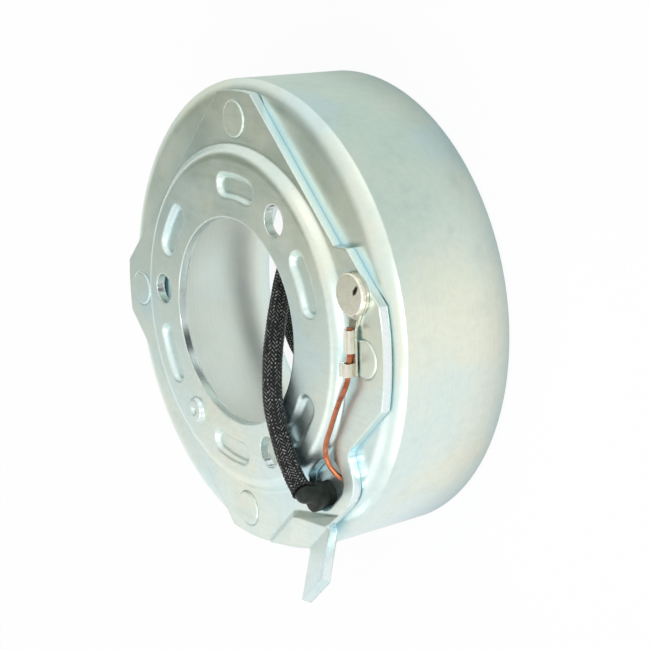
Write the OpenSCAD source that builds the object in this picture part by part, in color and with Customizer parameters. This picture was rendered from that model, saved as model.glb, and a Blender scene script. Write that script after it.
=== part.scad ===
// Field coil of an air conditioning compressor clutch: a steel shell with the
// winding cast into it, a stamped mounting plate staked on its back, a ground
// terminal and a sleeved lead. It stands on its open pole face.

/* [Field shell] */
// Outer diameter of the shell
shell_d = 101; // [96:0.5:110]
// Diameter of the open bore inside the inner wall
shell_bore_d = 66.8; // [64:0.2:68]
// Height of the shell from pole face to back
shell_h = 28.3; // [26:0.1:34]
// Thickness of the outer wall
outer_wall = 3.8; // [3:0.1:4.4]
// Thickness of the inner wall
inner_wall = 3.2; // [2.6:0.1:3.6]
// Thickness of the back
back_t = 4; // [3.4:0.1:5]
// Radius of the rolled corner between back and outer wall
back_r = 6; // [3:0.1:8]
// Steepness at which the rolled corner ends on the outer wall, in degrees
back_crease = 50; // [30:1:80]
// Chamfer on the edges of the pole face
face_chamfer = 0.5; // [0.2:0.1:1]

/* [Mounting plate] */
// Thickness of the sheet
sheet = 2; // [1.5:0.1:2.5]
// Diameter of the bore in the plate
plate_bore_d = 44.3; // [40:0.1:46]
// Diameter over the rounded plate corners
plate_d = 96.6; // [94:0.2:98]
// Width across the straight edges of the plate
plate_flats = 76.4; // [74:0.2:80]
// Distance from the axis to the upper edge of the wide corner that carries the terminal
ear_upper = 41; // [40:0.1:42]
// Distance from the axis to the lower edge of the wide corner
ear_lower = 40.2; // [40:0.1:42]
// Half height of the wide corner
ear_half = 20.6; // [19:0.2:22]
// Height of the raised disc above the rest of the plate
disc_rise = 2.1; // [1.5:0.1:3]
// Diameter of the raised disc at its foot
disc_foot_d = 74.6; // [73.6:0.2:75.4]
// Width of the sloping wall round the disc
disc_slope = 1.9; // [1.2:0.1:2.6]
// Bend radius at the top and foot of the disc wall
disc_bend = 0.8; // [0.5:0.1:1.2]

/* [Holes and beads in the disc] */
// Diameter of the three mounting holes
hole_d = 6.6; // [5.5:0.1:7]
// Pitch circle of the mounting holes
hole_pcd = 57.2; // [55:0.1:60]
// Direction of the first mounting hole, in degrees
hole_angle = 55; // [50:1:60]
// Pitch circle of the stiffening beads
bead_pcd = 57.8; // [56:0.1:60]
// Width of a bead
bead_w = 5.2; // [4.4:0.1:5.6]
// Depth of a bead
bead_depth = 1; // [0.6:0.1:1.3]
// Angle between the centres of a bead's two ends, in degrees
bead_span = 17; // [12:1:19]
// Diameter of the locating pip
pip_d = 6.4; // [5:0.1:7]
// Height of the locating pip
pip_h = 0.9; // [0.5:0.1:1.4]

/* [Stakes] */
// Diameter of the bosses that hold the plate
stake_d = 7.8; // [7:0.1:8]
// Pitch circle of the bosses
stake_pcd = 84.8; // [84:0.1:85.2]
// Height of a boss above the plate
stake_proud = 0.3; // [0.1:0.1:0.6]

/* [Lead tongue and tab] */
// Distance from the axis to the edge that carries the tab
tongue_reach = 47.9; // [47.2:0.1:48.8]
// Height by which the tongue is raised
tongue_rise = 0.8; // [0.4:0.1:1.2]
// Width of the bent tab
tab_w = 9.4; // [7:0.1:10]
// Length of the tab beyond its bend
tab_len = 11.2; // [6:0.1:14]
// Angle that the tab is bent up by, in degrees
tab_angle = 37; // [20:1:60]
// Inner radius of the tab's bend
tab_bend = 1.6; // [1:0.1:3]
// Half width of the lead opening in the plate
lead_slot_r = 4.3; // [4.2:0.1:4.4]
// Length of the lead opening between the centres of its ends
lead_slot_run = 4.3; // [3.6:0.1:5]

/* [Coil] */
// Wall of the bobbin
bobbin_wall = 0.9; // [0.6:0.1:1.4]
// Radial build of the winding
winding_build = 7.2; // [5:0.1:7.4]
// Thickness of the tape round the winding
tape_t = 0.4; // [0.2:0.1:0.6]
// Depth of the casting resin
potting_depth = 2.4; // [1.5:0.1:4]
// Depth of the resin's face below the pole face
potting_recess = 0.8; // [0.4:0.1:1.5]

/* [Ground terminal] */
// Distance of the rivet from the axis, towards the wide corner
rivet_x = 40; // [39.4:0.1:41]
// Distance of the rivet to the side
rivet_y = 12.3; // [11.5:0.1:13]
// Diameter of the rivet head
rivet_head_d = 8.4; // [7.4:0.1:8.6]
// Thickness of the rivet head
rivet_head_t = 1; // [0.8:0.1:1.6]
// Diameter of the rivet shank
rivet_shank_d = 4; // [3:0.1:4.6]
// Thickness of the terminal's sheet
tin_t = 0.6; // [0.4:0.1:0.8]
// Outer diameter of the conductor crimp
crimp_d = 2.2; // [2:0.1:2.8]
// Diameter of the ground wire
wire_d = 1.1; // [0.8:0.1:1.3]

/* [Lead] */
// Diameter of the braided sleeve
sleeve_d = 4.2; // [3.6:0.1:4.4]
// Width and height of the connector
connector_w = 6.6; // [6:0.1:8]
// Length of the connector
connector_len = 14; // [12:0.5:15]

/* [Hidden] */

$fn = 96;
// Overlap that lets two shapes of one piece join
join = 0.5;
// Gap between pieces that are slid together
slip = 0.15;
// Gap between pieces that are staked, cast or wound together
snug = 0.03;

shell_r = shell_d / 2;
shell_bore_r = shell_bore_d / 2;
cavity_in = shell_bore_r + inner_wall;
cavity_out = shell_r - outer_wall;
cavity_top = shell_h - back_t;

plate_r = plate_d / 2;
plate_bore_r = plate_bore_d / 2;
plate_top = shell_h + sheet;
disc_top = plate_top + disc_rise;
disc_foot_r = disc_foot_d / 2;
disc_edge_r = disc_foot_r - disc_slope;
disc_wall_angle = atan2(disc_rise, disc_slope);
// radius at which the bend at the foot of the disc has run out
disc_end_r = disc_foot_r + disc_bend * tan(disc_wall_angle / 2);
hole_count = 3;
bead_count = 2 * hole_count;
bead_slope = 0.8;
pip_angle = hole_angle + 180;
pip_slope = 0.7;
stake_count = 4;
stake_r = stake_d / 2;

// The tongue, the lead opening and the tab are set out from the line that
// leaves the axis at this angle
tongue_angle = -45;
lead_out = 40.9;
lead_side = 0.15;
grommet_out = 41.6;
grommet_side = -3;
grommet_l = 5.8;
grommet_w = 5.4;
grommet_r = 1.7;
grommet_top = plate_top + 2.6;
stem_r = 2.6;
wire_out = 42.7;
wire_side = 5.35;
tab_side = -14.2;
tab_root = tongue_reach;

bobbin_in = cavity_in + slip;
bobbin_out = cavity_out - slip;
potting_top = potting_recess + potting_depth;
bobbin_low = potting_top + snug;
bobbin_high = cavity_top - slip;
winding_in = bobbin_in + bobbin_wall + snug;
winding_out = winding_in + winding_build;
winding_low = bobbin_low + bobbin_wall + snug;
winding_high = bobbin_high - bobbin_wall - snug;
lead_end = winding_high + snug;

wire_r = wire_d / 2;
crimp_r = crimp_d / 2;
crimp_z = plate_top + stake_proud + 0.25 + crimp_r;
crimp_in = rivet_y - 11.2;
crimp_out = rivet_y - 6.7;
grip_end = rivet_y - 15.9;
grip_start = rivet_y - 13.3;
// the grip is wider than the crimp and stands over to one side
grip_r = crimp_r + 0.3;
grip_shift = 0.8;
grip_lift = 0.15;
// strip that joins the eye to the crimp, and the neck that climbs from it
strip_w = 4.6;
strip_run = 6;
neck_w = 2.2;
neck_start = rivet_y - strip_run + 1.2;

// Route of the ground wire from the terminal to its hole in the shell
wire_hole = turned_to([wire_out, wire_side]);
wire_route = [
    [rivet_x, crimp_out + 0.5, crimp_z], [rivet_x, rivet_y - 11, crimp_z],
    [rivet_x - 0.35, rivet_y - 13.4, crimp_z], [rivet_x - 0.6, rivet_y - 15.6, crimp_z],
    [rivet_x - 0.9, rivet_y - 17, crimp_z],
    [38.3, -7, plate_top + 2], [36.9, -9, plate_top + 1.9], [35, -12.4, plate_top + 1.8],
    [33.2, -16, plate_top + 1.7], [31.8, -18.6, plate_top + 1.6],
    [31.2, -20.8, plate_top + 1.5], [31.6, -22.8, plate_top + 1.3],
    [32.6, -24.6, plate_top + 0.8], [wire_hole[0], wire_hole[1], plate_top - 0.7],
    [wire_hole[0], wire_hole[1], shell_h - 1.3], [wire_hole[0], wire_hole[1], lead_end]
];

// Elbow that turns the lead out of the grommet: its foot, its corner, the way
// that it points and how far it reaches beyond the corner
elbow_foot = [28.1, -30.7, grommet_top - 1.1];
elbow_corner = [28.44, -29.91, 35.17];
elbow_turn = 149;
elbow_reach = 0.9;
elbow_r = sleeve_d / 2 - 0.2;
elbow_gap = 0.25;
elbow_cut = 10;
// Route of the sleeve: over the disc, down through the bore and round on the
// surface that the coil stands on
sleeve_route = [
    [27.67, -29.45, 35.12], [25.5, -28.13, 34.98], [24.05, -26.95, 34.78],
    [22.8, -25.5, 34.67], [21.5, -23.8, 34.65], [20, -20.7, 34.65],
    [18.4, -16.9, 34.65], [17.2, -13, 34.5], [16.2, -8, 33.8], [15.2, -4, 32.8],
    [14, -0.7, 31.4], [12.5, 2.8, 29.6], [10.2, 6.4, 27], [7.6, 9.4, 24.2], [4.8, 12, 21],
    [1.4, 14.4, 17.2], [-2.4, 16.6, 12.8], [-6.6, 18.6, 8.4], [-11, 19.4, 4.8],
    [-15.6, 17.8, 2.6], [-19.4, 13.8, 2.15], [-22, 8.6, 2.15], [-23.3, 3, 2.15],
    [-23.5, -2.8, 2.15], [-22.8, -8.4, 2.15], [-20.2, -13.4, 2.15], [-16, -17.2, 2.15],
    [-10.8, -20.2, 2.15], [-5, -22, 2.15], [1, -22.8, 2.15], [7, -22.7, 2.15],
    [12.4, -21, 2.3], [16.2, -18.2, 2.7], [18.4, -14.6, 3.2], [18.8, -10.6, 3.3]
];
// End of the sleeve, and the direction that the connector lies in
lead_tip = [18.8, -10.6];
lead_turn = 86;
shrink_len = 8;
shrink_t = 0.4;
bare_len = 5;
bare_r = 1.2;
boot_len = 4;
boot_at = shrink_len + bare_len;
housing_at = boot_at + boot_len;
housing_wall = 2;
housing_bore_r = 2.3;
contact_bore_r = 1.2;
contact_floor = 3;

// A point given outwards and sideways from the tongue's line, on the axes
function turned_to(p) = [
    p[0] * cos(tongue_angle) - p[1] * sin(tongue_angle),
    p[0] * sin(tongue_angle) + p[1] * cos(tongue_angle)
];

// Points of an arc about c, from angle a to angle b in n steps
function arc(c, r, a, b, n = 8) = [
    for (i = [0 : n]) c + r * [cos(a + (b - a) * i / n), sin(a + (b - a) * i / n)]
];

// A smooth curve through the points p, with k steps between two of them
function curve_at(a, b, c, d, t) =
    0.5 * (2 * b + (c - a) * t + (2 * a - 5 * b + 4 * c - d) * t * t
    + (3 * b - 3 * c + d - a) * t * t * t);
function smooth(p, k) = [
    for (i = [0 : len(p) - 2], j = [0 : k - 1])
        curve_at(p[max(i - 1, 0)], p[i], p[i + 1], p[min(i + 2, len(p) - 1)], j / k),
    p[len(p) - 1]
];

// Directions along a path, and a side vector carried along without twist
function unit(v) = v / norm(v);
function along(p) = [
    for (i = [0 : len(p) - 1]) unit(p[min(i + 1, len(p) - 1)] - p[max(i - 1, 0)])
];
function square_to(n, t) = unit(n - (n * t) * t);
function sides(t, n, i = 0) =
    i == len(t) ? [] : let (m = square_to(n, t[i])) concat([m], sides(t, m, i + 1));

// A round tube with flat ends, swept along the path p
module tube(p, r, count = 8) {
    t = along(p);
    n = sides(t, [1, 0.3, 0.2]);
    points = [
        for (i = [0 : len(p) - 1], j = [0 : count - 1])
            let (a = 360 * j / count)
            p[i] + r * (cos(a) * n[i] + sin(a) * cross(t[i], n[i]))
    ];
    walls = [
        for (i = [0 : len(p) - 2], j = [0 : count - 1])
            let (k = (j + 1) % count, a = i * count, b = a + count)
            each [[a + j, b + j, b + k], [a + j, b + k, a + k]]
    ];
    first = [for (j = [0 : count - 1]) j];
    last = [for (j = [count - 1 : -1 : 0]) (len(p) - 1) * count + j];
    polyhedron(points, concat([first], walls, [last]));
}

module ring(r_in, r_out, z_low, z_high) {
    translate([0, 0, z_low])
        difference() {
            cylinder(h = z_high - z_low, r = r_out);
            translate([0, 0, -1]) cylinder(h = z_high - z_low + 2, r = r_in);
        }
}

// Places its children at a point of the tongue's own axes
module at_tongue(out, side, z = 0) {
    rotate(tongue_angle) translate([out, side, z]) children();
}

module rounded_block(l, w, h, r) {
    linear_extrude(h) rounded_rectangle(l, w, r);
}

module rounded_rectangle(l, w, r) {
    polygon([
        for (k = [0 : 3])
            each arc(
                [(l / 2 - r) * (k == 0 || k == 3 ? 1 : -1), (w / 2 - r) * (k < 2 ? 1 : -1)],
                r, 90 * k, 90 * k + 90, 6
            )
    ]);
}

// Shell: turned from one piece, open towards the pole face
module shell_profile() {
    polygon(concat(
        [[shell_bore_r + face_chamfer, 0], [cavity_in, 0], [cavity_in, cavity_top],
         [cavity_out, cavity_top], [cavity_out, 0], [shell_r - face_chamfer, 0],
         [shell_r, face_chamfer]],
        arc([shell_r - back_r * sin(back_crease), shell_h - back_r], back_r,
            90 - back_crease, 90, 10),
        [[shell_bore_r + face_chamfer, shell_h], [shell_bore_r, shell_h - face_chamfer],
         [shell_bore_r, face_chamfer]]
    ));
}

module stakes(r, z_low, z_high) {
    for (k = [0 : stake_count - 1])
        rotate(360 / stake_count * k)
            translate([stake_pcd / 2, 0, z_low])
                cylinder(h = z_high - z_low, r = r);
}

module stake_tops() {
    edge = min(0.25, stake_proud);
    for (k = [0 : stake_count - 1])
        rotate(360 / stake_count * k)
            translate([stake_pcd / 2, 0, plate_top + stake_proud - edge])
                cylinder(h = edge, r1 = stake_r - snug, r2 = stake_r - snug - edge);
}

module field_shell() {
    edge = min(0.25, stake_proud);
    color("#c9d3d0")
        difference() {
            union() {
                rotate_extrude($fn = 180) shell_profile();
                stakes(stake_r - snug, shell_h - join, plate_top + stake_proud - edge);
                stake_tops();
            }
            at_tongue(grommet_out, grommet_side, cavity_top - 1)
                cylinder(h = back_t + 2, r = stem_r + snug);
            at_tongue(wire_out, wire_side, cavity_top - 1)
                cylinder(h = back_t + 2, r = wire_r + slip);
            translate([rivet_x, rivet_y, shell_h - rivet_depth()])
                cylinder(h = rivet_depth() + 1, r = rivet_shank_d / 2);
        }
}

// The rivet ends inside the back of the shell
function rivet_depth() = back_t * 0.8;

// Outline of the flat blank of the mounting plate
module plate_outline() {
    intersection() {
        circle(r = plate_r, $fn = 180);
        union() {
            rotate(45) square(plate_flats, center = true);
            intersection() {
                rotate(45) translate([-plate_d, -ear_lower])
                    square([plate_d + ear_upper, plate_d + ear_lower]);
                translate([0, -ear_half]) square([plate_d, 2 * ear_half]);
            }
        }
    }
    rotate(tongue_angle) polygon(tongue_points);
}

// Curved side of the tongue: the way out from the wide corner's edge, as a share,
// and the distance to the side
tongue_curve = [
    [0, 13], [0.01, 12.2], [0.045, 11.5], [0.11, 10.95], [0.21, 10.5], [0.43, 9.75],
    [0.585, 9.15], [0.714, 8.4], [0.83, 7.4], [0.92, 6.1], [0.98, 4.6], [1, 3]
];
tongue_points = concat(
    [[10, 13]],
    [for (p = tongue_curve) [ear_lower + p[0] * (tongue_reach - ear_lower), p[1]]],
    [[tongue_reach, tab_side], [39.4, -27.9], [38.2, -29.5], [10, -29.5]]
);

// Raised part of the tongue, next to the tab
rise_low = [
    [39.2, -30], [39.2, -14.4], [40.2, -12.4], [42, -11.2], [46.2, -5.2],
    [tongue_reach + 1, 1.2], [tongue_reach + 1, -30]
];
rise_high = [
    [40.3, -30], [40.3, -14.8], [41, -13.6], [43, -12.4], [47.4, -6],
    [tongue_reach + 1, -4], [tongue_reach + 1, -30]
];

module tongue_rise_shape(z, shift = 0) {
    intersection() {
        rotate(tongue_angle)
            hull() {
                translate([shift, 0, z - join]) linear_extrude(join) polygon(rise_low);
                translate([shift, 0, z]) linear_extrude(tongue_rise) polygon(rise_high);
            }
        translate([0, 0, z - 1]) linear_extrude(tongue_rise + 2) plate_outline();
    }
}

// Section of the sheet from the bore out to the foot of the disc
module disc_profile() {
    slope = disc_wall_angle;
    // distance from a corner to the start of its bend
    run = disc_bend * tan(slope / 2);
    far = disc_bend + sheet;
    far_run = far * tan(slope / 2);
    inner_edge = disc_edge_r - sheet * tan(slope / 2);
    inner_foot = disc_foot_r - sheet * tan(slope / 2);
    polygon(concat(
        [[plate_bore_r, disc_top - sheet], [plate_bore_r, disc_top]],
        arc([disc_edge_r - far_run, disc_top - far], far, 90, 90 - slope, 5),
        arc([disc_foot_r + run, plate_top + disc_bend], disc_bend, 270 - slope, 270, 5),
        [[disc_end_r + 0.2, plate_top], [disc_end_r + 0.2, shell_h]],
        arc([inner_foot + far_run, shell_h + far], far, 270, 270 - slope, 5),
        arc([inner_edge - run, disc_top - sheet - disc_bend], disc_bend, 90 - slope, 90, 5)
    ));
}

// A long bead with round ends, pressed down from height z and kept upright above it
module bead(z, depth, w, above) {
    mid = bead_pcd / 2;
    floor_w = w - 2 * bead_slope;
    rotate(-bead_span / 2)
        rotate_extrude(angle = bead_span)
            polygon([[mid - w / 2, z + above], [mid - w / 2, z], [mid - floor_w / 2, z - depth],
                     [mid + floor_w / 2, z - depth], [mid + w / 2, z], [mid + w / 2, z + above]]);
    for (s = [-1, 1])
        rotate(s * bead_span / 2) {
            translate([mid, 0, z - depth])
                cylinder(h = depth, r1 = floor_w / 2, r2 = w / 2);
            translate([mid, 0, z])
                cylinder(h = above, r = w / 2);
        }
}

module beads(z, depth, w, above) {
    for (k = [0 : bead_count - 1])
        rotate(hole_angle + 30 + 60 * k) bead(z, depth, w, above);
}

// Tab: bent up out of the tongue's edge
module tab() {
    centre = [0, sheet + tab_bend];
    run = tab_len * [cos(tab_angle), sin(tab_angle)];
    lower = arc(centre, sheet + tab_bend, -90, -90 + tab_angle, 8);
    upper = arc(centre, tab_bend, -90 + tab_angle, -90, 8);
    at_tongue(tab_root, tab_side, shell_h + tongue_rise)
        rotate([90, 0, 0])
            mirror([0, 0, 1])
                linear_extrude(tab_w)
                    polygon(concat(
                        [[-join, 0]], lower,
                        [lower[len(lower) - 1] + run, upper[0] + run],
                        upper, [[-join, sheet]]
                    ));
}

module mounting_plate() {
    color("#cfd8d4")
        difference() {
            union() {
                translate([0, 0, shell_h])
                    linear_extrude(sheet)
                        difference() {
                            plate_outline();
                            circle(r = disc_end_r + 0.1);
                        }
                rotate_extrude($fn = 180) disc_profile();
                tongue_rise_shape(plate_top);
                intersection() {
                    beads(disc_top - sheet + join, bead_depth + join, bead_w, 0.3);
                    ring(plate_bore_r, disc_edge_r, shell_h, disc_top);
                }
                rotate(pip_angle)
                    translate([hole_pcd / 2, 0, disc_top - join])
                        cylinder(h = pip_h + join, r1 = pip_d / 2, r2 = pip_d / 2 - pip_slope);
                tab();
            }
            tongue_rise_shape(shell_h, 0.6);
            beads(disc_top, bead_depth, bead_w, 1);
            for (k = [0 : hole_count - 1])
                rotate(hole_angle + 360 / hole_count * k)
                    translate([hole_pcd / 2, 0, shell_h])
                        cylinder(h = disc_top, r = hole_d / 2);
            rotate(pip_angle)
                translate([hole_pcd / 2, 0, disc_top - sheet - 1])
                    cylinder(h = pip_h + 1, r = pip_d / 2 - pip_slope);
            rotate(pip_angle)
                translate([hole_pcd / 2, 0, disc_top + pip_h - 0.5])
                    cylinder(h = join + 0.5, r1 = 0.6, r2 = 1.5);
            stakes(stake_r, shell_h - 1, plate_top + 1);
            for (s = [-1, 1])
                at_tongue(lead_out, lead_side + s * lead_slot_run / 2, shell_h - 1)
                    cylinder(h = sheet + 2, r = lead_slot_r);
            at_tongue(lead_out, lead_side, shell_h + sheet / 2)
                cube([2 * lead_slot_r, lead_slot_run, sheet + 2], center = true);
            translate([rivet_x, rivet_y, shell_h - 1])
                cylinder(h = sheet + 2, r = rivet_shank_d / 2 + snug);
        }
}

// Bobbin: a moulded channel that the wire is wound in
module coil_bobbin() {
    color("#e8e2cf")
        difference() {
            union() {
                ring(bobbin_in, bobbin_in + bobbin_wall, bobbin_low, bobbin_high);
                ring(bobbin_in, bobbin_out, bobbin_low, bobbin_low + bobbin_wall);
                ring(bobbin_in, bobbin_out, bobbin_high - bobbin_wall, bobbin_high);
            }
            at_tongue(grommet_out, grommet_side, bobbin_high - 2 * bobbin_wall)
                cylinder(h = 3 * bobbin_wall, r = stem_r + slip);
            at_tongue(wire_out, wire_side, bobbin_high - 2 * bobbin_wall)
                cylinder(h = 3 * bobbin_wall, r = wire_r + slip);
        }
}

module coil_winding() {
    color("#b4652f") ring(winding_in, winding_out, winding_low, winding_high);
}

module winding_tape() {
    color("#d9c24a")
        ring(winding_out + snug, winding_out + snug + tape_t, winding_low, winding_high);
}

module potting_ring() {
    color("#2b2f33")
        ring(cavity_in + snug, cavity_out - snug, potting_recess, potting_top);
}

// Grommet: rubber stem in the shell's hole, head on the plate, stub for the lead
module lead_grommet() {
    color("#1d1f20") {
        at_tongue(grommet_out, grommet_side, lead_end)
            cylinder(h = grommet_top - 1 - lead_end, r = stem_r);
        at_tongue(grommet_out, grommet_side, plate_top + snug)
            rounded_block(grommet_w, grommet_l, grommet_top - plate_top - 0.5 - snug, grommet_r);
        at_tongue(grommet_out, grommet_side, grommet_top - 0.5)
            rounded_block(grommet_w - 1, grommet_l - 1, 0.5, grommet_r - 0.5);
        elbow();
    }
}

// Round elbow, cut off square where the sleeve begins
module elbow() {
    rise = elbow_corner - elbow_foot;
    difference() {
        union() {
            translate(elbow_foot)
                rotate([0, acos(rise[2] / norm(rise)), atan2(rise[1], rise[0])])
                    cylinder(h = norm(rise), r = elbow_r);
            translate(elbow_corner) {
                sphere(r = elbow_r);
                rotate([0, 90, elbow_turn]) cylinder(h = elbow_reach, r = elbow_r);
            }
        }
        translate(elbow_corner)
            rotate(elbow_turn)
                translate([elbow_reach - elbow_gap, -elbow_cut / 2, grommet_top - elbow_corner[2]])
                    cube(elbow_cut);
    }
}

// Ring terminal: eye under the rivet, conductor crimp, window and wire grip
module ground_terminal() {
    eye_r = rivet_head_d / 2 + 0.1;
    // the strip under the two crimps ends just below the wire
    strip_top = crimp_z - wire_r - 0.06;
    color("#d8d2bd") {
        difference() {
            translate([rivet_x, rivet_y, plate_top + snug])
                linear_extrude(tin_t)
                    union() {
                        circle(r = eye_r);
                        polygon([[-strip_w / 2, -eye_r + 0.9], [strip_w / 2, -eye_r + 0.9],
                                 [neck_w / 2, -strip_run], [-neck_w / 2, -strip_run]]);
                    }
            translate([rivet_x, rivet_y, plate_top - 1])
                cylinder(h = 4, r = rivet_shank_d / 2 + snug);
        }
        // neck that climbs from the eye to the crimp
        translate([rivet_x - neck_w / 2, 0, 0])
            rotate([90, 0, 90])
                linear_extrude(neck_w)
                    polygon([
                        [neck_start, plate_top + snug],
                        [neck_start, plate_top + snug + tin_t],
                        [crimp_out, strip_top], [grip_end, strip_top],
                        [grip_end, crimp_z - crimp_r + 0.05],
                        [crimp_out - 0.4, crimp_z - crimp_r + 0.05]
                    ]);
        crimp_barrel(crimp_in, crimp_out, crimp_r, wire_r + snug);
        crimp_barrel(grip_end, grip_start, grip_r, wire_r + slip + 0.1, grip_shift, 0.55, grip_lift);
    }
}

// A rolled barrel along Y with a groove where its two edges meet; the barrel and
// its hole can stand to the side, and the barrel higher than the hole
module crimp_barrel(y_low, y_high, r, r_in, shift = 0, hole_shift = 0, lift = 0) {
    difference() {
        translate([rivet_x - shift, y_high, crimp_z + lift])
            rotate([90, 0, 0]) cylinder(h = y_high - y_low, r = r);
        translate([rivet_x - hole_shift, y_high + 1, crimp_z])
            rotate([90, 0, 0]) cylinder(h = y_high - y_low + 2, r = r_in);
        translate([rivet_x - shift, (y_low + y_high) / 2, crimp_z + lift + r + 0.1])
            rotate([0, 45, 0]) cube([0.7, y_high - y_low + 2, 0.7], center = true);
    }
}

module terminal_rivet() {
    head_low = plate_top + tin_t + 2 * snug;
    color("#d5cfb8")
        translate([rivet_x, rivet_y, 0]) {
            translate([0, 0, shell_h - rivet_depth() + snug])
                cylinder(h = head_low + join - shell_h + rivet_depth(), r = rivet_shank_d / 2 - snug);
            translate([0, 0, head_low])
                cylinder(h = rivet_head_t - 0.3, r = rivet_head_d / 2);
            translate([0, 0, head_low + rivet_head_t - 0.3])
                cylinder(h = 0.3, r1 = rivet_head_d / 2, r2 = rivet_head_d / 2 - 0.3);
        }
}

module ground_wire() {
    color("#a5512c") tube(smooth(wire_route, 3), wire_r, 8);
}

module lead_sleeve() {
    color("#26282a") tube(smooth(sleeve_route, 2), sleeve_d / 2, 12);
}

// Places its children at the end of the sleeve, along the connector's length
module at_lead_tip(x) {
    translate([lead_tip[0], lead_tip[1], connector_w / 2])
        rotate(lead_turn) translate([x, 0, 0]) rotate([0, 90, 0]) children();
}

module sleeve_shrink() {
    color("#17181a")
        at_lead_tip(4 * snug)
            difference() {
                cylinder(h = shrink_len, r = sleeve_d / 2 + shrink_t);
                translate([0, 0, 2]) cylinder(h = shrink_len, r = bare_r + snug);
            }
}

// Insulated wire between the sleeve and the connector
module lead_wire() {
    color("#222426")
        at_lead_tip(2 + 5 * snug)
            cylinder(h = housing_at + housing_wall - 2 - 3 * snug, r = bare_r);
}

module connector_boot() {
    color("#5a3a34")
        at_lead_tip(boot_at)
            difference() {
                union() {
                    cylinder(h = boot_len, r = connector_w / 2 - 1);
                    for (k = [0 : 1])
                        translate([0, 0, 0.8 + 1.6 * k])
                            cylinder(h = 0.8, r = connector_w / 2 - 0.5);
                }
                translate([0, 0, -1]) cylinder(h = boot_len + 2, r = bare_r + snug);
            }
}

module connector_housing() {
    color("#1a1b1d")
        translate([lead_tip[0], lead_tip[1], connector_w / 2])
            rotate(lead_turn)
                translate([housing_at + snug, 0, 0])
                    difference() {
                        union() {
                            translate([0, -connector_w / 2, -connector_w / 2])
                                cube([connector_len, connector_w, connector_w]);
                            translate([connector_len * 0.35, -1.6, connector_w / 2 - join])
                                cube([connector_len * 0.4, 3.2, 1.2 + join]);
                        }
                        translate([-1, 0, 0])
                            rotate([0, 90, 0]) cylinder(h = connector_len, r = bare_r + slip);
                        translate([housing_wall, 0, 0])
                            rotate([0, 90, 0]) cylinder(h = connector_len, r = housing_bore_r);
                    }
}

module connector_contact() {
    color("#cfb46a")
        at_lead_tip(housing_at + housing_wall + 4 * snug)
            difference() {
                cylinder(h = connector_len - 2 * housing_wall, r = housing_bore_r - slip);
                translate([0, 0, contact_floor]) cylinder(h = connector_len, r = contact_bore_r);
            }
}

field_shell();
mounting_plate();
coil_bobbin();
coil_winding();
winding_tape();
potting_ring();
lead_grommet();
ground_terminal();
terminal_rivet();
ground_wire();
lead_sleeve();
sleeve_shrink();
lead_wire();
connector_boot();
connector_housing();
connector_contact();
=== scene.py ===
import bpy
import bmesh
import math
from mathutils import Matrix, Vector
from mathutils.kdtree import KDTree


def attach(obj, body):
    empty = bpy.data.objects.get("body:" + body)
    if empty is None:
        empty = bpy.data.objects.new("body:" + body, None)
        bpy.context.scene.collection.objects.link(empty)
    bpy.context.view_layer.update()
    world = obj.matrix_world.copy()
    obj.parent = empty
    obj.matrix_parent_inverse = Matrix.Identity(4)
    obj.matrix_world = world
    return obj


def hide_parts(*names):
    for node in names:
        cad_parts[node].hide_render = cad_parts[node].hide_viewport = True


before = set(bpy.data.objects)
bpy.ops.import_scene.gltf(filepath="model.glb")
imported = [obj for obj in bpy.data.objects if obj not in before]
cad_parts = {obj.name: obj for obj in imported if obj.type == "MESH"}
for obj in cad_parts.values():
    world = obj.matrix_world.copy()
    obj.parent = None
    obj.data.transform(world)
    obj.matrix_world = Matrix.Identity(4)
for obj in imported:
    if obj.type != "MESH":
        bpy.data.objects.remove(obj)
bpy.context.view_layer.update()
scene = bpy.context.scene
print("frame loaded")

mm = 0.001

# where the photograph was taken from, in mm, and the camera's three directions
cameraPlan = {
    "place": (248.84, 71.40, 190.17),
    "right": (0.594425, -0.023101, -0.803819),
    "down": (0.179598, -0.970525, 0.160704),
    "ahead": (-0.783839, -0.239891, -0.572756),
    "lens": 79.25,
    "sensorWidth": 36,
    "nearest": 0.01,   # metres
    "furthest": 20,
}


def makeCamera(plan):
    camera = bpy.data.cameras.new("camera")
    camera.lens = plan["lens"]
    camera.sensor_width = plan["sensorWidth"]
    camera.clip_start = plan["nearest"]
    camera.clip_end = plan["furthest"]
    holder = bpy.data.objects.new("camera", camera)
    right, down, ahead = (Vector(plan[key]) for key in ("right", "down", "ahead"))
    turn = Matrix((right, -down, -ahead)).transposed().to_4x4()
    holder.matrix_world = Matrix.Translation(Vector(plan["place"]) * mm) @ turn
    scene.collection.objects.link(holder)
    scene.camera = holder


makeCamera(cameraPlan)
print("camera set")


# helpers for curves and meshes

def smoothLine(points, steps):
    # a rounded line through the points, the same one that the sleeve's solid follows
    line = []
    last = len(points) - 1
    for i in range(last):
        a, b = Vector(points[max(i - 1, 0)]), Vector(points[i])
        c, d = Vector(points[i + 1]), Vector(points[min(i + 2, last)])
        for j in range(steps):
            t = j / steps
            line.append(0.5 * (2 * b + (c - a) * t + (2 * a - 5 * b + 4 * c - d) * t * t
                               + (3 * b - 3 * c + d - a) * t * t * t))
    line.append(Vector(points[-1]))
    return line


def evenLine(points, gap):
    # the line again, with its points an even gap apart, and its length
    lengths = [0.0]
    for a, b in zip(points, points[1:]):
        lengths.append(lengths[-1] + (b - a).length)
    count = max(2, round(lengths[-1] / gap))
    even = []
    k = 0
    for i in range(count + 1):
        want = lengths[-1] * i / count
        while k < len(points) - 2 and lengths[k + 1] < want:
            k += 1
        run = lengths[k + 1] - lengths[k]
        even.append(points[k].lerp(points[k + 1], (want - lengths[k]) / run if run else 0))
    return even, lengths[-1]


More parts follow.
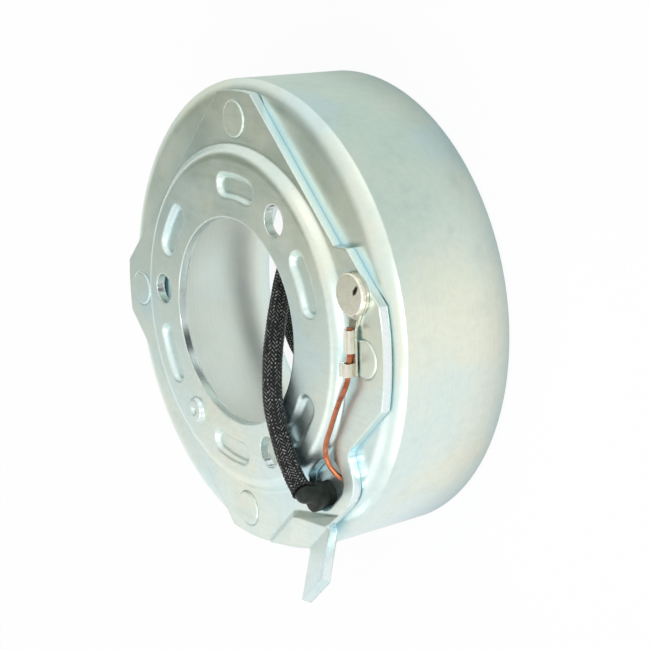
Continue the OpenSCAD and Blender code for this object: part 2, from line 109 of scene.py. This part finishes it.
def sideAxes(points):
    # two directions square to the line at each point, carried along without twist
    axes = []
    side = Vector((1, 0.3, 0.2))
    for i in range(len(points)):
        ahead = (points[min(i + 1, len(points) - 1)] - points[max(i - 1, 0)]).normalized()
        side = (side - side.dot(ahead) * ahead).normalized()
        axes.append((side.copy(), ahead.cross(side)))
    return axes


def curveObject(name, lines, radius, roundness):
    # a round cord along each line
    curve = bpy.data.curves.new(name, "CURVE")
    curve.dimensions = "3D"
    curve.bevel_depth = radius
    curve.bevel_resolution = roundness
    curve.use_fill_caps = True
    for line in lines:
        spline = curve.splines.new("POLY")
        spline.points.add(len(line) - 1)
        for k, point in enumerate(line):
            spline.points[k].co = (*point, 1)
    holder = bpy.data.objects.new(name, curve)
    scene.collection.objects.link(holder)
    return holder


def asMesh(holder):
    # turns a curve into a plain mesh object of the same name
    name = holder.name
    shape = bpy.data.meshes.new_from_object(
        holder.evaluated_get(bpy.context.evaluated_depsgraph_get()))
    bpy.data.objects.remove(holder)
    made = bpy.data.objects.new(name, shape)
    scene.collection.objects.link(made)
    return made


def smoothShade(holder, sharpOver):
    # smooth all over, apart from edges that turn by more than this many degrees
    for face in holder.data.polygons:
        face.use_smooth = True
    holder.data.set_sharp_from_angle(angle=math.radians(sharpOver))


# the lead's braided sleeve, in mm: its route is the one in the part's source
sleevePlan = {
    "route": [
        (27.67, -29.45, 35.12), (25.5, -28.13, 34.98), (24.05, -26.95, 34.78),
        (22.8, -25.5, 34.67), (21.5, -23.8, 34.65), (20, -20.7, 34.65),
        (18.4, -16.9, 34.65), (17.2, -13, 34.5), (16.2, -8, 33.8), (15.2, -4, 32.8),
        (14, -0.7, 31.4), (12.5, 2.8, 29.6), (10.2, 6.4, 27), (7.6, 9.4, 24.2), (4.8, 12, 21),
        (1.4, 14.4, 17.2), (-2.4, 16.6, 12.8), (-6.6, 18.6, 8.4), (-11, 19.4, 4.8),
        (-15.6, 17.8, 2.6), (-19.4, 13.8, 2.15), (-22, 8.6, 2.15), (-23.3, 3, 2.15),
        (-23.5, -2.8, 2.15), (-22.8, -8.4, 2.15), (-20.2, -13.4, 2.15), (-16, -17.2, 2.15),
        (-10.8, -20.2, 2.15), (-5, -22, 2.15), (1, -22.8, 2.15), (7, -22.7, 2.15),
        (12.4, -21, 2.3), (16.2, -18.2, 2.7), (18.4, -14.6, 3.2), (18.8, -10.6, 3.3),
    ],
    "routeSteps": 6,          # points of the rounded line from one of these to the next
    "diameter": 4.2,
    "core": 3.7,              # diameter of what shows between the yarns
    "coreGap": 1.2,
    "coreRoundness": 3,
    "yarns": 16,              # wound each way
    "yarnWidth": 0.44,
    "yarnRoundness": 1,
    "weave": 0.1,             # how far a yarn moves in and out
    "pitch": 13.0,
    "wave": (-1, -1, 1, 0.3),   # under two others and over two, highest over the first
    "crownDepth": 0.048,      # how deep below its outside a yarn gets the painted glint
    "flare": 0.3,             # the cut end by the grommet has opened by this
    "flareRun": 2.5,
}


def yarnLines(plan, fine, flare):
    # two sets of yarns wind round the core and pass over and under by twos, in rows along it
    axes = sideAxes(fine)
    middle = (plan["diameter"] / 2 - plan["yarnWidth"] / 2 - plan["weave"] / 2) * mm
    yarns = []
    for hand in (1, -1):
        for k in range(plan["yarns"]):
            yarn = []
            for i, point in enumerate(fine):
                angle = 2 * math.pi * (k / plan["yarns"] + hand * i / (2 * plan["yarns"]))
                phase = (2 * k + hand * i + 2 * (hand > 0)) % 4
                reach = middle + (plan["weave"] * mm / 2) * plan["wave"][phase] + flare[i]
                a, b = axes[i]
                yarn.append(point + reach * (math.cos(angle) * a + math.sin(angle) * b))
            yarns.append(yarn)
    return yarns


def markCrowns(plan, braid, fine, flare):
    # the yarns' crowns, where they pass over the others, marked for a painted glint
    near = KDTree(len(fine))
    for i, point in enumerate(fine):
        near.insert(point, i)
    near.balance()
    crownGlint = braid.data.attributes.new("crownGlint", "FLOAT", "POINT")
    top = (plan["diameter"] / 2 - plan["crownDepth"]) * mm
    for vertex in braid.data.vertices:
        _, i, away = near.find(vertex.co)
        crownGlint.data[vertex.index].value = float(away > top + flare[i])


def makeSleeve(plan):
    route = smoothLine([Vector(p) * mm for p in plan["route"]], plan["routeSteps"])
    line, length = evenLine(route, plan["coreGap"] * mm)
    core = asMesh(curveObject("sleeveCore", [line], plan["core"] / 2 * mm, plan["coreRoundness"]))
    smoothShade(core, sharpOver=60)
    # the yarns have a point at each of their crossings
    turns = length / (plan["pitch"] * mm)
    crossingGap = length / round(turns * 2 * plan["yarns"])
    fine, _ = evenLine(route, crossingGap)
    frayed = round(plan["flareRun"] * mm / crossingGap)
    flare = [plan["flare"] * mm * max(0, 1 - i / frayed) ** 2 for i in range(len(fine))]
    yarns = yarnLines(plan, fine, flare)
    braid = asMesh(curveObject("sleeveBraid", yarns, plan["yarnWidth"] / 2 * mm, plan["yarnRoundness"]))
    smoothShade(braid, sharpOver=80)
    markCrowns(plan, braid, fine, flare)
    return core, braid, line, length


sleeveCore, sleeveBraid, sleeveLine, sleeveLength = makeSleeve(sleevePlan)
print("lead sleeve made,", round(sleeveLength / mm), "mm long")


# helpers for materials

class Wire:
    # a node's socket, written into sums like a number
    def __init__(self, tree, socket):
        self.tree = tree
        self.socket = socket

    def maths(self, operation, first, second=0.0):
        return addNode(self.tree, "ShaderNodeMath", {"operation": operation}, {0: first, 1: second})

    def __add__(self, other):
        return self.maths("ADD", self, other)

    def __sub__(self, other):
        return self.maths("SUBTRACT", self, other)

    def __rsub__(self, other):
        return self.maths("SUBTRACT", other, self)

    def __mul__(self, other):
        return self.maths("MULTIPLY", self, other)

    def __truediv__(self, other):
        return self.maths("DIVIDE", self, other)

    def __rtruediv__(self, other):
        return self.maths("DIVIDE", other, self)

    def __pow__(self, other):
        return self.maths("POWER", self, other)

    def __abs__(self):
        return self.maths("ABSOLUTE", self)

    __radd__ = __add__
    __rmul__ = __mul__


def addNode(tree, kind, settings=None, sockets=None, out=0):
    # the settings are set first, then each socket gets its value or its link
    node = tree.nodes.new(kind)
    for key, value in (settings or {}).items():
        setattr(node, key, value)
    for key, value in (sockets or {}).items():
        if isinstance(value, Wire):
            tree.links.new(value.socket, node.inputs[key])
        else:
            node.inputs[key].default_value = value
    return Wire(tree, node.outputs[out])


def splitVector(tree, vector):
    node = tree.nodes.new("ShaderNodeSeparateXYZ")
    tree.links.new(vector.socket, node.inputs[0])
    return [Wire(tree, output) for output in node.outputs]


def spanNode(tree, wire, low, high, atLow=0.0, atHigh=1.0):
    # goes softly from one value to the other while the wire goes from low to high
    return addNode(tree, "ShaderNodeMapRange", {"interpolation_type": "SMOOTHSTEP"},
                   {"Value": wire, "From Min": low, "From Max": high,
                    "To Min": atLow, "To Max": atHigh})


def blendNode(tree, amount, first, second):
    # sockets 6 and 7 of the Mix node are its two colours, and output 2 is what they give
    first, second = (tone if isinstance(tone, Wire) else (*tone, 1) for tone in (first, second))
    return addNode(tree, "ShaderNodeMix", {"data_type": "RGBA"},
                   {0: amount, 6: first, 7: second}, out=2)


class Finish:
    # one material: its constants go on the shader, and feed() drives what varies
    def __init__(self, name, constants=None):
        self.material = bpy.data.materials.new(name)
        self.material.use_nodes = True
        self.tree = self.material.node_tree
        self.shader = self.tree.nodes["Principled BSDF"]
        for key, value in (constants or {}).items():
            self.shader.inputs[key].default_value = value
        self.place = self.node("ShaderNodeTexCoord", out="Object")

    def node(self, kind, settings=None, sockets=None, out=0):
        return addNode(self.tree, kind, settings, sockets, out)

    def feed(self, name, wire):
        self.tree.links.new(wire.socket, self.shader.inputs[name])

    def join(self, x, y, z):
        return self.node("ShaderNodeCombineXYZ", None, {0: x, 1: y, 2: z})

    def grain(self, scale, detail=2.0, rough=0.5, at=None):
        return self.node("ShaderNodeTexNoise", None,
                         {"Vector": at or self.place, "Scale": scale,
                          "Detail": detail, "Roughness": rough})

    def span(self, wire, low, high, atLow=0.0, atHigh=1.0):
        return spanNode(self.tree, wire, low, high, atLow, atHigh)

    def fade(self, wire, low, high):
        return self.span(wire, low, high, 1.0, 0.0)

    def blend(self, amount, first, second):
        return blendNode(self.tree, amount, first, second)

    def stain(self, colour, pattern, low, high, share, tone):
        # lays a share of a tone over the colour where the pattern goes from low to high
        return self.blend(self.span(pattern, low, high) * share, colour, tone)

    def bump(self, height, strength, depth, under=None):
        sockets = {"Height": height, "Strength": strength, "Distance": depth}
        if under:
            sockets["Normal"] = under
        return self.node("ShaderNodeBump", None, sockets)

    def softEdges(self, radius):
        return self.node("ShaderNodeBevel", {"samples": 6}, {"Radius": radius})


# zinc plating, the same bath for the shell and the plate
zincLook = {
    # cool to olive along Y: partly the plating's own tone, partly painted light for how the lighting
    # changes across the part
    "cool": (0.76, 0.88, 0.87),      # towards -Y
    "olive": (0.765, 0.85, 0.76),    # towards +Y
    "castEnds": (-0.055, 0.055),     # from where to where along Y, in metres
    "castWander": 0.03,
    "grains": {
        # scale, detail and roughness of each pattern
        "clouds": (55, 3, 0.55),
        "tints": (34, 3, 0.5),
        "patches": (150, 4, 0.65),
        "specks": (700, 2, 0.6),
        "dents": (260, 3, 0.6),
    },
    "stains": [
        # pattern, where it starts and is full, how much of the tone shows, tone
        ("clouds", 0.45, 0.7, 0.6, (0.87, 0.885, 0.77)),     # warm
        ("tints", 0.52, 0.68, 0.5, (0.93, 0.89, 0.70)),      # straw
        ("tints", 0.48, 0.34, 0.5, (0.66, 0.84, 0.92)),      # blue
        ("patches", 0.5, 0.75, 0.3, (0.56, 0.66, 0.61)),
        ("specks", 0.35, 0.75, 0.16, (0.56, 0.66, 0.61)),
    ],
    "corner": (0.42, 0.68, 0.78),    # blue in the corners: partly the plating's tint, partly painted shade where they are closed in
    "cornerReach": 4,                # mm
    "cornerOpen": (0.35, 0.95),      # from closed in to open
    "cornerShare": 0.62,
    "wallRise": (0.05, 0.4),         # square of the normal's Z: an upright wall to a sloped one
    "marks": (0.4, 0.8, 0.2, (0.56, 0.66, 0.61)),
    "markDetail": (3, 0.7),
    "dentBump": (0.12, 0.25),        # strength, and depth in mm
    "markBump": (0.05, 0.06),
}

shellZinc = {
    "rough": (0.31, 0.43),
    "edge": 0.4,                     # mm that an edge is rounded by
    "markScale": 2600,               # turning marks
    # painted highlight on the bore's upright wall
    "wallPaintedLight": (0.84, 0.92, 0.83),
    "wallPaintedLightShare": 0.5,
    "wallWithin": (34.5, 35.5),      # only the bore's wall gets the painted highlight, inside this radius in mm
}

plateZinc = {
    "rough": (0.28, 0.40),
    "edge": 0.5,
    "markScale": (160, 1900),        # rolling marks, along X and across it
    # painted highlight on the upright cut walls
    "wallPaintedLight": (0.88, 0.95, 0.97),
    "wallPaintedLightShare": 0.8,
    "wallPolish": 0.45,
    # the beads' edges are drawn, so they are rounder than the cut ones
    "beads": {"count": 6, "start": 25, "radius": 29.0, "reach": (3.4, 4.6), "edge": 0.9},
}


def zincTone(finish, look, y, grains):
    # the tone, cool to olive along Y, with its stains; the change along Y is partly the plating's own
    # tone and partly painted light
    wander = (grains["clouds"] - 0.5) * look["castWander"]
    colour = finish.blend(finish.span(y + wander, *look["castEnds"]), look["cool"], look["olive"])
    for pattern, *stain in look["stains"]:
        colour = finish.stain(colour, grains[pattern], *stain)
    return colour


def beadEdges(finish, own, x, y, radius):
    # how far the edges are rounded, in mm: more round the ring of beads
    beads = own["beads"]
    ring = finish.fade(abs(radius - beads["radius"] * mm), *(reach * mm for reach in beads["reach"]))
    spoke = finish.node("ShaderNodeMath", {"operation": "ARCTAN2"}, {0: y, 1: x})
    swing = (spoke - math.radians(beads["start"])) * beads["count"]
    turn = finish.node("ShaderNodeMath", {"operation": "COSINE"}, {0: swing})
    return ring * finish.span(turn, 0.0, 0.5) * (beads["edge"] - own["edge"]) + own["edge"]


def zincSteel(name, look, own):
    finish = Finish(name, {"Metallic": 1.0})
    x, y, z = splitVector(finish.tree, finish.place)
    radius = (x * x + y * y) ** 0.5
    grains = {}
    for pattern, grain in look["grains"].items():
        # the tints lie longer along Z, and start elsewhere than the clouds
        at = finish.join(x + 0.5, y, z * 0.7) if pattern == "tints" else None
        grains[pattern] = finish.grain(*grain, at)
    colour = zincTone(finish, look, y, grains)
    # upright walls are painted lighter: a painted highlight for the light that falls on them
    rise = splitVector(finish.tree, finish.node("ShaderNodeNewGeometry", out="Normal"))[2]
    wall = finish.fade(rise * rise, *look["wallRise"])
    if "wallWithin" in own:
        wall = wall * finish.fade(radius, *(edge * mm for edge in own["wallWithin"]))
    colour = finish.blend(wall * own["wallPaintedLightShare"], colour, own["wallPaintedLight"])
    # painted shade with the plating's tint: ambient occlusion finds the closed-in corners, which are
    # made darker and bluer
    corner = finish.node("ShaderNodeAmbientOcclusion", {"samples": 4},
                         {"Distance": look["cornerReach"] * mm}, out="AO")
    closed = finish.span(corner, *look["cornerOpen"], look["cornerShare"], 0.0)
    colour = finish.blend(closed, colour, look["corner"])
    # turning marks run round the shell, rolling marks run along the plate
    if "beads" in own:
        along, across = own["markScale"]
        lines = finish.join(x * along, y * across, z * across)
    else:
        lines = finish.join(radius * own["markScale"], z * own["markScale"], 0.0)
    marks = finish.grain(1, *look["markDetail"], lines)
    finish.feed("Base Color", finish.stain(colour, marks, *look["marks"]))
    blur = finish.span(grains["clouds"] * 0.6 + marks * 0.4, 0.3, 0.7, *own["rough"])
    if "wallPolish" in own:
        blur = blur * (1 - wall * own["wallPolish"])
    finish.feed("Roughness", blur)
    edge = beadEdges(finish, own, x, y, radius) if "beads" in own else own["edge"]
    soft = finish.softEdges(edge * mm)
    dentStrength, dentDepth = look["dentBump"]
    markStrength, markDepth = look["markBump"]
    dents = finish.bump(grains["dents"], dentStrength, dentDepth * mm, soft)
    finish.feed("Normal", finish.bump(marks, markStrength, markDepth * mm, dents))
    return finish.material


# moulded rubber, and the black between the yarns of the sleeve
grommetRubber = {"colour": (0.017, 0.022, 0.017), "dusty": (0.047, 0.052, 0.047), "rough": (0.34, 0.52)}
coreBlack = {"colour": (0.004, 0.004, 0.004), "dusty": (0.034, 0.034, 0.034), "rough": (0.52, 0.7)}


def rubberBlack(name, look):
    finish = Finish(name, {"Specular IOR Level": 0.3})
    dust = finish.grain(scale=420, detail=4, rough=0.7)
    colour = finish.stain(look["colour"], dust, 0.55, 0.8, share=0.35, tone=look["dusty"])
    finish.feed("Base Color", colour)
    finish.feed("Roughness", finish.span(finish.grain(scale=150), 0.3, 0.7, *look["rough"]))
    skin = finish.grain(scale=900, detail=3, rough=0.6)
    soft = finish.softEdges(0.5 * mm)
    finish.feed("Normal", finish.bump(skin, strength=0.2, depth=0.1 * mm, under=soft))
    return finish.material


# polyester yarn
yarnLook = {
    "dark": (0.006, 0.007, 0.007),
    "light": (0.014, 0.015, 0.015),
    # painted highlight: the glint on the yarns' crowns
    "crownGlint": (0.38, 0.39, 0.37),
    "crownShare": 0.9,
    "rough": (0.2, 0.34),
}


def braidYarn(name, look):
    finish = Finish(name, {"Specular IOR Level": 0.3})
    tufts = finish.grain(scale=1500, rough=0.6)
    # the mesh says where the crowns are, and the painted glint on them is broken up unevenly
    crownGlint = finish.node("ShaderNodeAttribute", {"attribute_name": "crownGlint"}, out="Fac")
    glintBreakup = finish.grain(scale=1100, detail=1)
    paintedGlint = finish.span(crownGlint, 0.5, 1.0) * finish.span(glintBreakup, 0.3, 0.55)
    base = finish.blend(finish.span(tufts, 0.3, 0.7), look["dark"], look["light"])
    finish.feed("Base Color", finish.blend(paintedGlint * look["crownShare"], base, look["crownGlint"]))
    finish.feed("Roughness", finish.span(tufts, 0.3, 0.7, *look["rough"]))
    threads = finish.grain(scale=4000, rough=0.6)
    finish.feed("Normal", finish.bump(threads, strength=0.3, depth=0.05 * mm))
    return finish.material


# enamelled copper
copperLook = {
    "deep": (0.32, 0.075, 0.027),
    "light": (0.46, 0.15, 0.062),
    "rough": (0.22, 0.36),
    "coat": (0.3, 0.6),
}


def enamelCopper(name, look):
    finish = Finish(name, {"Metallic": 0.85, "Coat Roughness": 0.12})
    tone = finish.grain(scale=300, detail=3, rough=0.6)
    finish.feed("Base Color", finish.blend(finish.span(tone, 0.35, 0.7), look["deep"], look["light"]))
    finish.feed("Roughness", finish.span(tone, 0.3, 0.7, *look["rough"]))
    finish.feed("Coat Weight", finish.span(finish.grain(scale=800), 0.3, 0.6, *look["coat"]))
    ripples = finish.grain(scale=1200)
    finish.feed("Normal", finish.bump(ripples, strength=0.15, depth=0.05 * mm))
    return finish.material


# tinned and nickelled metal with a cream cast
terminalTin = {
    "light": (0.74, 0.72, 0.62),
    "deep": (0.5, 0.44, 0.33),
    "speck": (0.2, 0.13, 0.08),
    "rough": (0.2, 0.34),
}
rivetNickel = {
    "light": (0.94, 0.92, 0.79),
    "deep": (0.45, 0.37, 0.24),
    "speck": (0.2, 0.13, 0.08),
    "rough": (0.2, 0.34),
    # a dark mark on the rivet's head: its place and size in mm
    "darkMark": {
        "place": (42.0, 13.4),
        "along": (0.6, 0.8),
        "squash": 0.42,
        "size": (0.75, 1.5),
        "wander": 1.1,
        "colour": (0.035, 0.02, 0.012),
    },
}


def darkMarkMask(finish, darkMark):
    # 1 inside the dark mark, which is narrow across and long along, and 0 outside it
    x, y, _ = splitVector(finish.tree, finish.place)
    wobble = (finish.grain(scale=1400) - 0.5) * (darkMark["wander"] * mm)
    fromX, fromY = (axis - place * mm for axis, place in zip((x, y), darkMark["place"]))
    alongX, alongY = darkMark["along"]
    across = fromX * alongY - fromY * alongX
    along = fromX * alongX + fromY * alongY
    away = ((across / darkMark["squash"]) ** 2 + along * along) ** 0.5 + wobble
    return finish.fade(away, *(size * mm for size in darkMark["size"]))


def creamNickel(name, look):
    finish = Finish(name, {"Metallic": 0.95})
    cloud = finish.grain(scale=420, detail=3, rough=0.6)
    specks = finish.grain(scale=1500, detail=3, rough=0.7)
    colour = finish.stain(look["light"], cloud, 0.4, 0.75, share=0.5, tone=look["deep"])
    colour = finish.stain(colour, specks, 0.6, 0.8, share=0.25, tone=look["speck"])
    if "darkMark" in look:
        colour = finish.blend(darkMarkMask(finish, look["darkMark"]), colour, look["darkMark"]["colour"])
    finish.feed("Base Color", colour)
    finish.feed("Roughness", finish.span(cloud, 0.3, 0.7, *look["rough"]))
    dents = finish.grain(scale=500, detail=3)
    soft = finish.softEdges(0.18 * mm)
    finish.feed("Normal", finish.bump(dents, strength=0.07, depth=0.1 * mm, under=soft))
    return finish.material


# plainer pieces: colour, how much lighter the flecks are, roughness from and to, metallic
plainLooks = {
    "bobbinNylon": ((0.62, 0.56, 0.4), 0.02, (0.39, 0.53), 0.0),
    "tapeFilm": ((0.55, 0.4, 0.06), 0.02, (0.24, 0.38), 0.0),
    "shrinkTube": ((0.014, 0.014, 0.015), 0.01, (0.34, 0.48), 0.0),
    "wireCover": ((0.016, 0.016, 0.018), 0.01, (0.24, 0.38), 0.0),
    "sealSilicone": ((0.23, 0.045, 0.03), 0.02, (0.44, 0.58), 0.0),
    "housingNylon": ((0.018, 0.018, 0.02), 0.012, (0.39, 0.53), 0.0),
    "contactBrass": ((0.62, 0.42, 0.14), 0.06, (0.22, 0.36), 1.0),
}


def plainFinish(name):
    colour, fleck, rough, metallic = plainLooks[name]
    finish = Finish(name, {"Metallic": metallic})
    tone = finish.grain(scale=350, detail=3, rough=0.6)
    lighter = tuple(c + fleck for c in colour)
    finish.feed("Base Color", finish.blend(finish.span(tone, 0.3, 0.75), colour, lighter))
    finish.feed("Roughness", finish.span(finish.grain(scale=900), 0.3, 0.7, *rough))
    skin = finish.grain(scale=1300, detail=3)
    soft = finish.softEdges(0.2 * mm)
    finish.feed("Normal", finish.bump(skin, strength=0.15, depth=0.06 * mm, under=soft))
    return finish.material


# casting resin with a few pits
resinLook = {
    "dark": (0.028, 0.031, 0.034),
    "light": (0.06, 0.063, 0.066),
    "rough": (0.28, 0.5),
}


def castResin(name, look):
    finish = Finish(name)
    tone = finish.grain(scale=120, detail=4, rough=0.6)
    finish.feed("Base Color", finish.blend(finish.span(tone, 0.3, 0.7), look["dark"], look["light"]))
    finish.feed("Roughness", finish.span(tone, 0.3, 0.7, *look["rough"]))
    pits = finish.span(finish.grain(scale=600, detail=1), 0.68, 0.75)
    finish.feed("Normal", finish.bump(tone * 0.8 - pits * 0.5, strength=0.4, depth=0.4 * mm))
    return finish.material


finishes = {
    "field_shell": zincSteel("shellZinc", zincLook, shellZinc),
    "mounting_plate": zincSteel("plateZinc", zincLook, plateZinc),
    "coil_bobbin": plainFinish("bobbinNylon"),
    "coil_winding": enamelCopper("windingCopper", copperLook),
    "winding_tape": plainFinish("tapeFilm"),
    "potting_ring": castResin("castingResin", resinLook),
    "lead_grommet": rubberBlack("grommetRubber", grommetRubber),
    "ground_terminal": creamNickel("terminalTin", terminalTin),
    "terminal_rivet": creamNickel("rivetNickel", rivetNickel),
    "ground_wire": enamelCopper("wireEnamel", copperLook),
    "sleeve_shrink": plainFinish("shrinkTube"),
    "lead_wire": plainFinish("wireCover"),
    "connector_boot": plainFinish("sealSilicone"),
    "connector_housing": plainFinish("housingNylon"),
    "connector_contact": plainFinish("contactBrass"),
}


def dress(holder, material):
    holder.data.materials.clear()
    holder.data.materials.append(material)


for nodeName, material in finishes.items():
    dress(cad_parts[nodeName], material)
dress(sleeveCore, rubberBlack("coreBlack", coreBlack))
dress(sleeveBraid, braidYarn("braidYarn", yarnLook))
print("finishes on")

# the sleeve stands for its plain solid, and the pieces on its far end lie where they are
for piece in (sleeveCore, sleeveBraid):
    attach(piece, "root")
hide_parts("lead_sleeve")
print("lead declared")

# a white tent, a pale floor and four small lamps
lightPlan = {
    "tent": (0.96, 0.97, 0.965),
    "card": (0.20, 0.225, 0.17),            # a grey card in the tent, which the metal mirrors
    "cardPlace": (-0.80, 0.15, 0.58),       # its direction
    "cardEdge": (0.89, 0.955),              # where it fades in, as the cosine of the angle to it
    "floorReach": 3,                        # metres each way
    "floorPaint": (0.86, 0.87, 0.87),
    "floorSeen": 0.9,                       # how much of the floor is plain white to the camera
    "floorMirrored": (0.99, 0.99, 0.985),   # the floor as the metal mirrors it
    "floorShadeBehind": (0.66, 0.735, 0.72),       # painted shade: the same floor, darker behind the shell
    "floorFade": (0.0, 0.06),               # where along Y it goes over to that
    "footShade": (0.05, 0.012, 0.68),       # the shell's shade on it: radius, reach, lightness
    "lampAim": (0, 0, 0.02),
    "lamps": [
        # name, place in metres, size, power
        ("back", (0.26, 0.86, 0.63), 0.7, 0.4),
        ("right", (0.56, -0.64, 0.69), 0.5, 1.1),
        ("left", (-0.45, -0.5, 0.9), 0.5, 0.4),
        ("spot", (0.95, 0.1, 0.78), 0.12, 1.6),
    ],
}


def floorPaint(plan):
    # white to the camera, plain to metal, and matt to all else, so that it keeps the shadow
    material = bpy.data.materials.new("floorWhite")
    material.use_nodes = True
    tree = material.node_tree
    tree.nodes.clear()
    path = tree.nodes.new("ShaderNodeLightPath")
    seen = Wire(tree, path.outputs["Is Camera Ray"]) * plan["floorSeen"]
    mirrored = (Wire(tree, path.outputs["Is Glossy Ray"])
                + Wire(tree, path.outputs["Is Transmission Ray"]))
    x, y, _ = splitVector(tree, addNode(tree, "ShaderNodeTexCoord", out="Object"))
    shade = blendNode(tree, spanNode(tree, y, *plan["floorFade"]),
                      plan["floorMirrored"], plan["floorShadeBehind"])
    radius, reach, lightness = plan["footShade"]
    away = abs((x * x + y * y) ** 0.5 - radius)
    foot = spanNode(tree, away, 0.0, reach, lightness, 1.0)
    paint = addNode(tree, "ShaderNodeBsdfDiffuse", None, {"Color": (*plan["floorPaint"], 1)})
    white = addNode(tree, "ShaderNodeEmission", None, {"Color": (1, 1, 1, 1), "Strength": 1.0})
    shown = addNode(tree, "ShaderNodeEmission", None, {"Color": shade, "Strength": foot})
    mixed = addNode(tree, "ShaderNodeMixShader", None, {0: seen, 1: paint, 2: white})
    mixed = addNode(tree, "ShaderNodeMixShader", None, {0: mirrored, 1: mixed, 2: shown})
    output = tree.nodes.new("ShaderNodeOutputMaterial")
    tree.links.new(mixed.socket, output.inputs["Surface"])
    return material


def makeFloor(plan):
    shape = bmesh.new()
    bmesh.ops.create_grid(shape, x_segments=1, y_segments=1, size=plan["floorReach"])
    data = bpy.data.meshes.new("floor")
    shape.to_mesh(data)
    shape.free()
    data.materials.append(floorPaint(plan))
    floor = bpy.data.objects.new("floor", data)
    scene.collection.objects.link(floor)


def makeWorld(plan):
    # plain white to the camera, and the tent with its card to everything else
    world = bpy.data.worlds.new("studio")
    scene.world = world
    world.use_nodes = True
    tree = world.node_tree
    tree.nodes.clear()
    path = tree.nodes.new("ShaderNodeLightPath")
    seen = Wire(tree, path.outputs["Is Camera Ray"])
    white = addNode(tree, "ShaderNodeBackground", None, {"Color": (1, 1, 1, 1), "Strength": 1.0})
    way = addNode(tree, "ShaderNodeTexCoord", out="Generated")
    toCard = addNode(tree, "ShaderNodeVectorMath", {"operation": "DOT_PRODUCT"},
                     {0: way, 1: Vector(plan["cardPlace"]).normalized()}, out="Value")
    tent = blendNode(tree, spanNode(tree, toCard, *plan["cardEdge"]), plan["tent"], plan["card"])
    studio = addNode(tree, "ShaderNodeBackground", None, {"Color": tent, "Strength": 1.0})
    mixed = addNode(tree, "ShaderNodeMixShader", None, {0: seen, 1: studio, 2: white})
    output = tree.nodes.new("ShaderNodeOutputWorld")
    tree.links.new(mixed.socket, output.inputs["Surface"])


def makeLamps(plan):
    for name, place, size, power in plan["lamps"]:
        lamp = bpy.data.lights.new(name, "AREA")
        lamp.shape = "DISK"
        lamp.size = size
        lamp.energy = power
        holder = bpy.data.objects.new(name, lamp)
        holder.location = place
        aim = Vector(plan["lampAim"]) - Vector(place)
        holder.rotation_euler = aim.to_track_quat("-Z", "Y").to_euler()
        scene.collection.objects.link(holder)


makeFloor(lightPlan)
makeWorld(lightPlan)
makeLamps(lightPlan)
scene.view_settings.view_transform = "Standard"
print("stage and light made")
